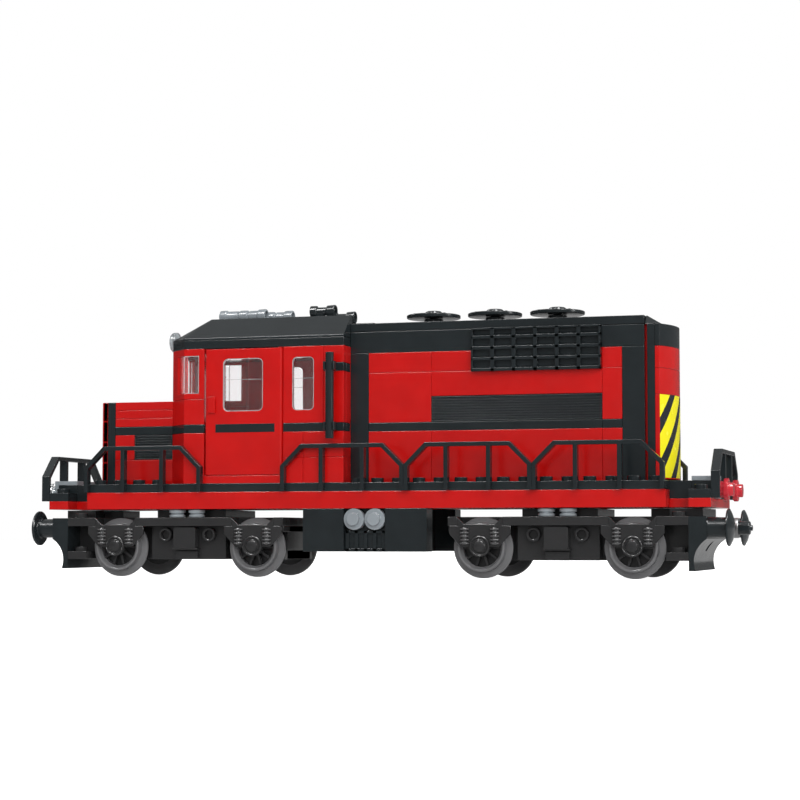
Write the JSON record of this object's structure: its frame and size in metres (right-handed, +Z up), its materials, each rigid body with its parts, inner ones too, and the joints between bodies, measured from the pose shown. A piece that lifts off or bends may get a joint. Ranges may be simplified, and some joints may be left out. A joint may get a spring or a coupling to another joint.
{
  "type": "model diesel locomotive",
  "caption": "Studded-brick toy diesel road switcher with centre-offset cab, railed walkways, two swivelling bogies on flanged wheels and magnetic couplers",
  "frame": {"origin": "at rail level, in the middle of the locomotive's length and width, at the foot of the wheel flanges", "axes": "+X along the track towards the long hood's end, +Y to the left when facing +X, +Z up"},
  "size_m": [0.279, 0.0622, 0.1026],
  "materials": {
    "red_abs": "smooth moulded ABS",
    "black_abs": "smooth moulded ABS",
    "light_grey_abs": "smooth moulded ABS",
    "clear_lens": "clear moulded plastic",
    "red_lens": "transparent red moulded plastic",
    "hazard_print": "yellow and black diagonal print",
    "button_green": "soft moulded plastic",
    "cell_wrap": "plain wrapped cells",
    "steel": "plain steel",
    "gear_nylon": "moulded nylon"
  },
  "bodies": {
    "chassis": {"base_plate": "red_abs", "battery_box": "light_grey_abs", "battery_cells": "cell_wrap", "cab_glazing": "clear_lens", "cab_handrails": "black_abs", "cab_trim": "black_abs", "cab_walls": "red_abs", "clear_lamps": "clear_lens", "deck_plate": "black_abs", "end_decks": "black_abs", "end_railings": "black_abs", "grey_round_plates": "light_grey_abs", "hazard_panel": "hazard_print", "hood_trim": "black_abs", "hood_walls": "red_abs", "lamp_brackets": "light_grey_abs", "radiator_grilles": "black_abs", "receiver": "light_grey_abs", "red_lamps": "red_lens", "red_noses": "red_abs", "ribbed_grilles": "black_abs", "short_hood": "red_abs", "short_hood_trim": "black_abs", "side_railings": "black_abs", "underframe_tank": "black_abs"},
    "cab_end_bogie_body": {"cab_end_bogie": "black_abs", "cab_end_slide_plates": "light_grey_abs", "cab_end_axle_boxes": "black_abs", "cab_end_buffer_beam": "black_abs"},
    "hood_end_bogie_body": {"hood_end_bogie": "black_abs", "hood_end_slide_plates": "light_grey_abs", "hood_end_axle_boxes": "black_abs", "hood_end_buffer_beam": "black_abs", "drive_motor": "steel"},
    "cab_end_coupler_body": {"cab_end_coupler": "black_abs", "cab_end_magnet": "steel"},
    "hood_end_coupler_body": {"hood_end_coupler": "black_abs", "hood_end_magnet": "steel"},
    "wheelset_1": {"wheels_1": "black_abs", "axle_1": "steel"},
    "wheelset_2": {"wheels_2": "black_abs", "axle_2": "steel"},
    "wheelset_3": {"wheels_3": "black_abs", "axle_3": "steel"},
    "wheelset_4": {"wheels_4": "black_abs", "axle_4": "steel"},
    "pinion": {"motor_pinion": "gear_nylon"},
    "right_door": {"right_cab_door": "red_abs", "right_door_glazing": "clear_lens"},
    "left_door": {"left_cab_door": "red_abs", "left_door_glazing": "clear_lens"},
    "cab_roof_body": {"cab_roof": "black_abs", "roof_lamp": "clear_lens", "grey_horns": "light_grey_abs", "black_horns": "black_abs"},
    "hood_roof_body": {"hood_roof": "black_abs"},
    "fan_1": {"roof_fan_1": "black_abs"},
    "fan_2": {"roof_fan_2": "black_abs"},
    "fan_3": {"roof_fan_3": "black_abs"},
    "button": {"power_button": "button_green"}
  },
  "joints": [
    {"name": "cab_end_bogie_swivel", "type": "hinge", "parent": "chassis", "child": "cab_end_bogie_body", "pos_m": [-0.072, 0, 0.027], "axis": [0, 0, 1], "range_deg": [-15, 15]},
    {"name": "hood_end_bogie_swivel", "type": "hinge", "parent": "chassis", "child": "hood_end_bogie_body", "pos_m": [0.072, 0, 0.027], "axis": [0, 0, 1], "range_deg": [-15, 15]},
    {"name": "wheelset_1_spin", "type": "hinge", "parent": "cab_end_bogie_body", "child": "wheelset_1", "pos_m": [-0.1, 0, 0.0112], "axis": [0, 1, 0], "continuous": true},
    {"name": "wheelset_2_spin", "type": "hinge", "parent": "cab_end_bogie_body", "child": "wheelset_2", "pos_m": [-0.044, 0, 0.0112], "axis": [0, 1, 0], "continuous": true},
    {"name": "wheelset_3_spin", "type": "hinge", "parent": "hood_end_bogie_body", "child": "wheelset_3", "pos_m": [0.044, 0, 0.0112], "axis": [0, 1, 0], "continuous": true},
    {"name": "wheelset_4_spin", "type": "hinge", "parent": "hood_end_bogie_body", "child": "wheelset_4", "pos_m": [0.1, 0, 0.0112], "axis": [0, 1, 0], "continuous": true},
    {"name": "motor_pinion_spin", "type": "hinge", "parent": "hood_end_bogie_body", "child": "pinion", "pos_m": [0.09013, 0.0076, 0.0128], "axis": [0, 1, 0], "continuous": true},
    {"name": "cab_end_coupler_swivel", "type": "hinge", "parent": "cab_end_bogie_body", "child": "cab_end_coupler_body", "pos_m": [-0.1232, 0, 0.015], "axis": [0, 0, 1], "range_deg": [-8, 8]},
    {"name": "hood_end_coupler_swivel", "type": "hinge", "parent": "hood_end_bogie_body", "child": "hood_end_coupler_body", "pos_m": [0.1232, 0, 0.015], "axis": [0, 0, 1], "range_deg": [-8, 8]},
    {"name": "right_cab_door_hinge", "type": "hinge", "parent": "chassis", "child": "right_door", "pos_m": [-0.0334, -0.0228, 0.062], "axis": [0, 0, 1], "range_deg": [0, 90]},
    {"name": "left_cab_door_hinge", "type": "hinge", "parent": "chassis", "child": "left_door", "pos_m": [-0.0334, 0.0228, 0.062], "axis": [0, 0, -1], "range_deg": [0, 90]},
    {"name": "cab_roof_lift", "type": "slide", "parent": "chassis", "child": "cab_roof_body", "axis": [0, 0, 1], "range_m": [0, 0.03]},
    {"name": "hood_roof_lift", "type": "slide", "parent": "chassis", "child": "hood_roof_body", "axis": [0, 0, 1], "range_m": [0, 0.03]},
    {"name": "roof_fan_1_spin", "type": "hinge", "parent": "hood_roof_body", "child": "fan_1", "pos_m": [0.02, 0, 0.0985], "axis": [0, 0, 1], "continuous": true},
    {"name": "roof_fan_2_spin", "type": "hinge", "parent": "hood_roof_body", "child": "fan_2", "pos_m": [0.044, 0, 0.0985], "axis": [0, 0, 1], "continuous": true},
    {"name": "roof_fan_3_spin", "type": "hinge", "parent": "hood_roof_body", "child": "fan_3", "pos_m": [0.068, 0, 0.0985], "axis": [0, 0, 1], "continuous": true},
    {"name": "power_button_press", "type": "slide", "parent": "chassis", "child": "button", "axis": [0, 0, -1], "range_m": [0, 0.0015], "stiffness_N_per_m": 300, "springref_m": -0.0005}
  ],
  "couplings": [
    {"joint": "motor_pinion_spin", "follows": "wheelset_4_spin", "ratio": -1.5}
  ]
}
